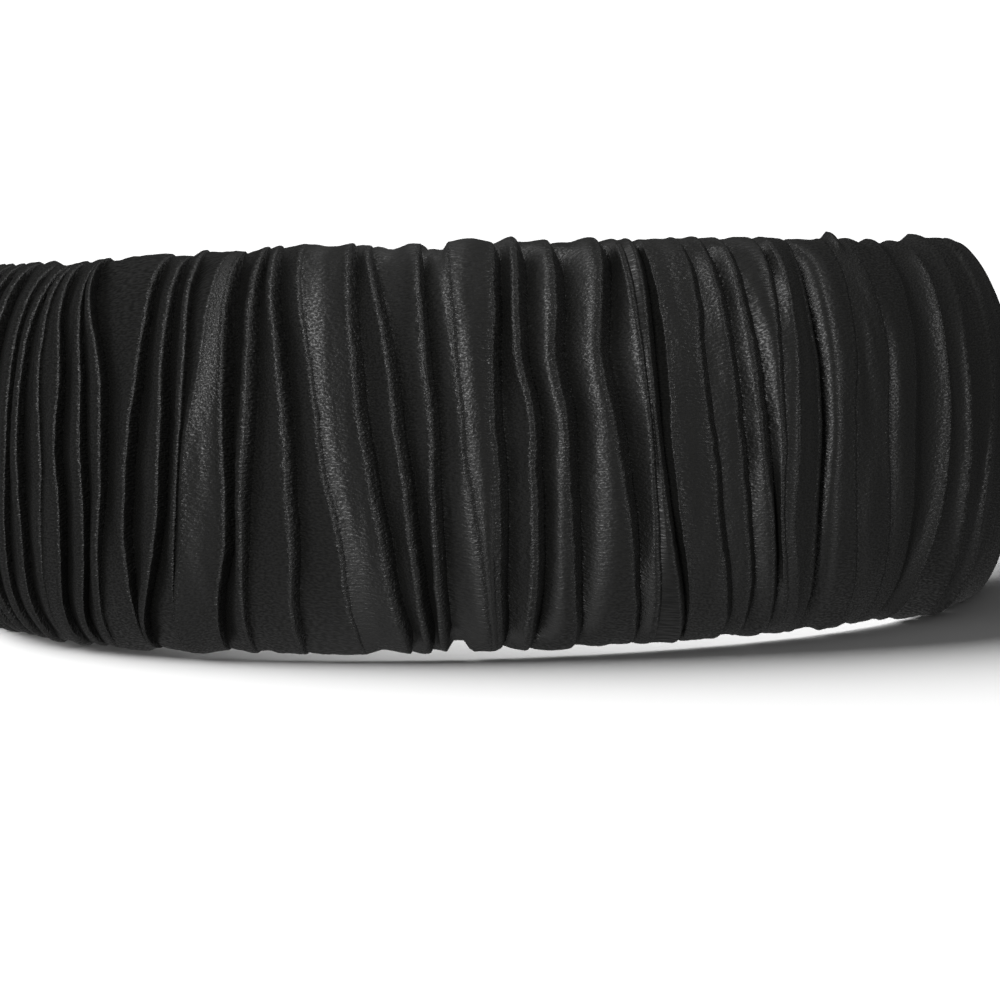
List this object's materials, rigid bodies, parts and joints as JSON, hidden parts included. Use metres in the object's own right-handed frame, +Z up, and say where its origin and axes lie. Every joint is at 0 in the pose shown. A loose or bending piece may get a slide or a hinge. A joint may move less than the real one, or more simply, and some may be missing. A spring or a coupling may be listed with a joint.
{
  "type": "padded pleated headband",
  "caption": "Padded open headband covered in gathered black satin, with a plain strip on the head side.",
  "frame": {"origin": "under the middle of the band's bounding box, on the surface that it rests on", "axes": "+Z up as the band lies on its lower edge, -Y towards the front of the band that is worn over the crown, +X from the left leg to the right leg seen from the front"},
  "size_m": [0.1596, 0.1494, 0.0561],
  "materials": {
    "black_satin": "gathered black satin with a soft sheen and fine threads along the band",
    "black_ribbon": "matt black ribbon with fine ribs across it"
  },
  "bodies": {
    "root": {"pleated_cover": "black_satin", "inner_band": "black_ribbon"}
  },
  "joints": []
}
